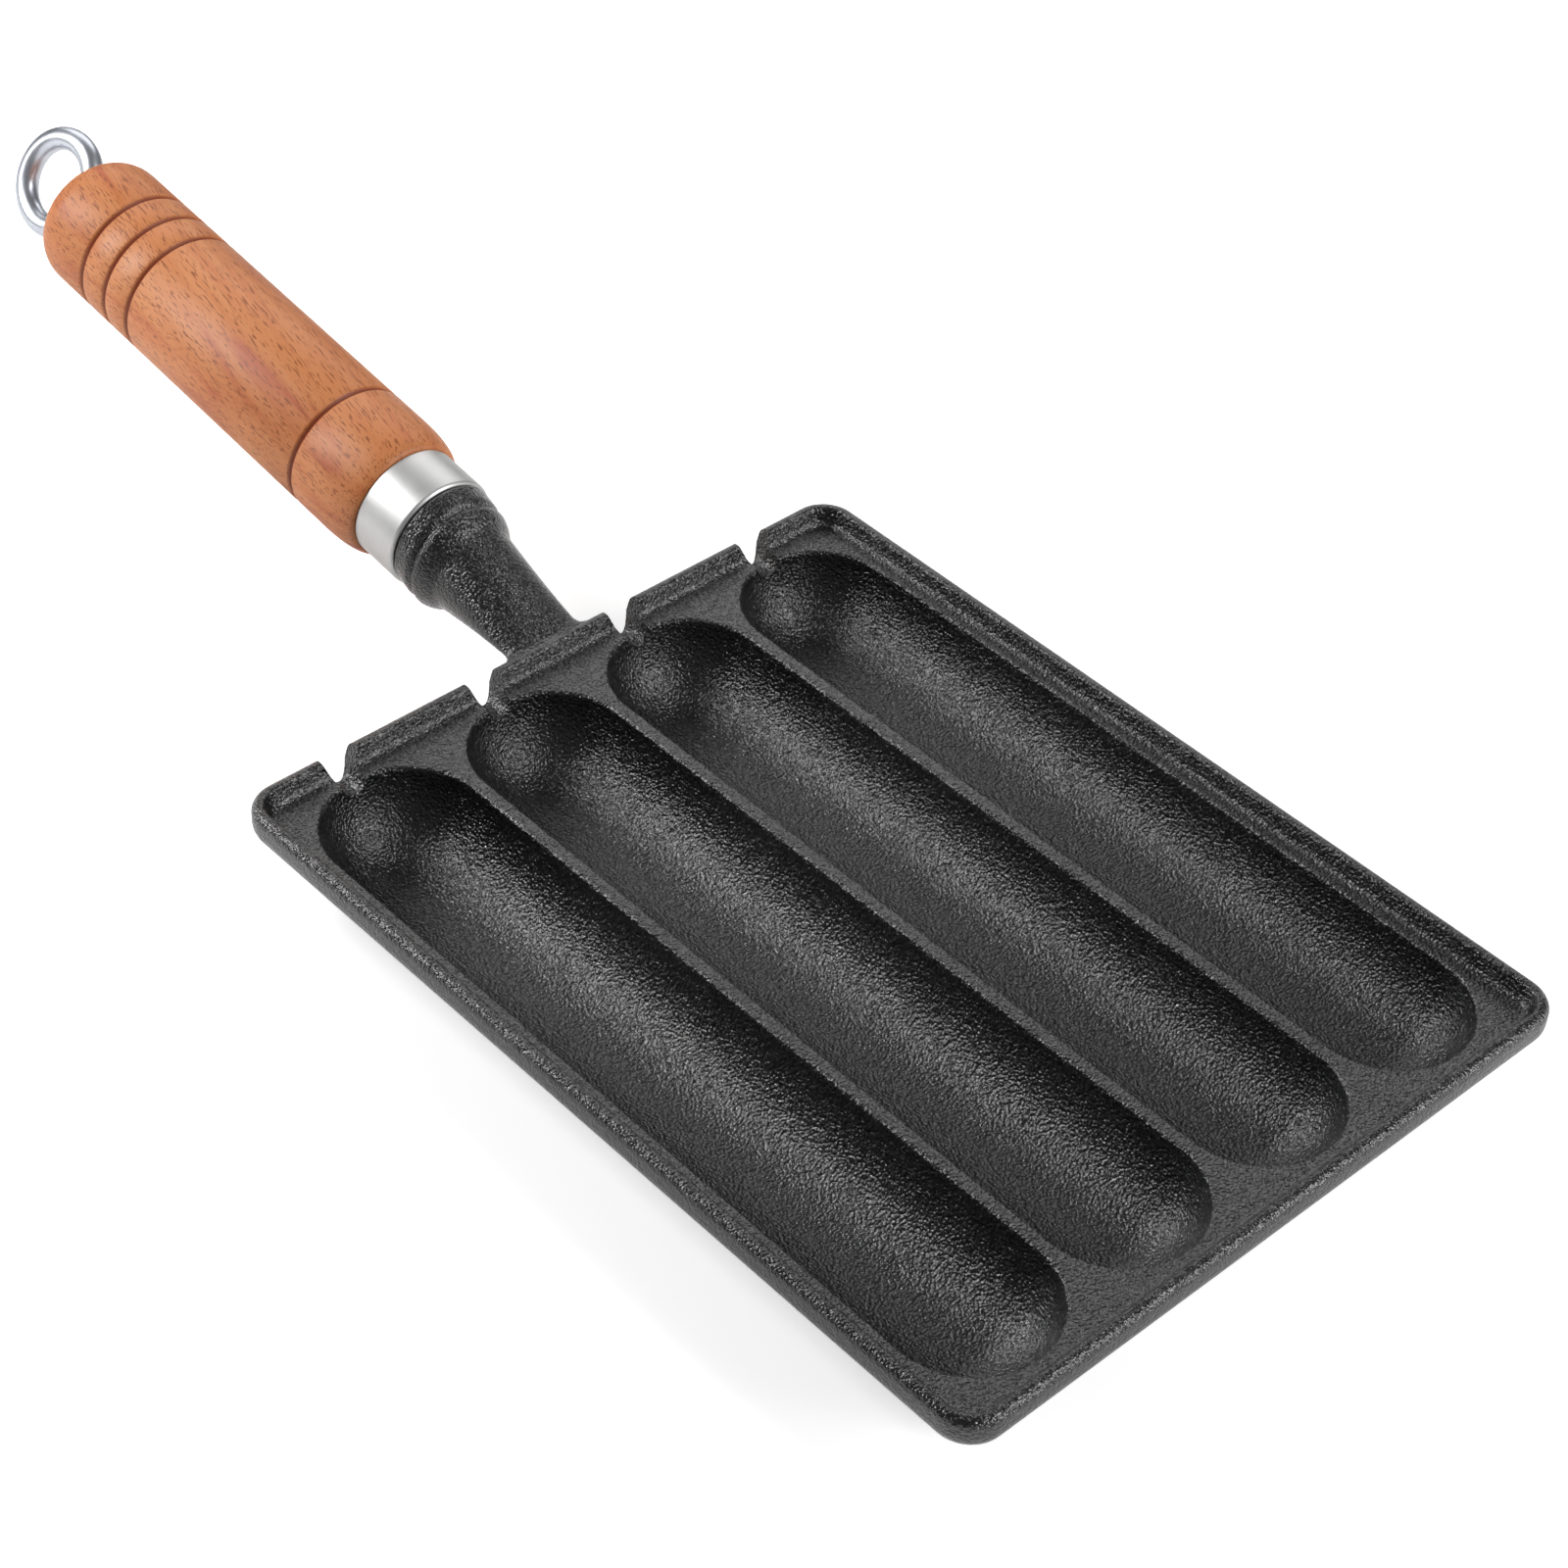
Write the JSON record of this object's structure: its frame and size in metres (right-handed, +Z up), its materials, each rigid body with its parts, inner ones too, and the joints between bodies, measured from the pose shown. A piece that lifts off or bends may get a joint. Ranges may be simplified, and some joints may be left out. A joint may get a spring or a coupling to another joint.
{
  "type": "sausage pan",
  "caption": "Cast iron sausage pan with half-round troughs, a notched rim for sticks, and a turned wooden handle held by a steel ferrule and a threaded hanging eye.",
  "frame": {"origin": "on the surface that the pan stands on, under the middle of the whole part's box", "axes": "+X from the handle towards the pan's front, +Y across the troughs, +Z up out of the troughs"},
  "size_m": [0.3972, 0.16, 0.0608],
  "materials": {
    "iron": "sand-cast and seasoned, dark grey, fine grain",
    "ferrule_steel": "bright drawn sleeve",
    "beech": "turned and oiled, with burnt grooves",
    "zinc_steel": "bright zinc plating"
  },
  "bodies": {
    "pan": {"pan_casting": "iron"},
    "grip": {"handle": "beech", "ferrule": "ferrule_steel"},
    "eye": {"eye_rod": "zinc_steel"}
  },
  "joints": [
    {"name": "handle_release", "type": "slide", "parent": "pan", "child": "grip", "axis": [-0.9919, 0, 0.1271], "range_m": [0, 0.01]},
    {"name": "eye_turn", "type": "hinge", "parent": "grip", "child": "eye", "pos_m": [-0.1855, 0, 0.04763], "axis": [-0.9919, 0, 0.1271], "range_deg": [0, 4320]}
  ],
  "couplings": [
    {"joint": "eye_turn", "follows": "handle_release", "rad_per_m": 6283.2}
  ]
}
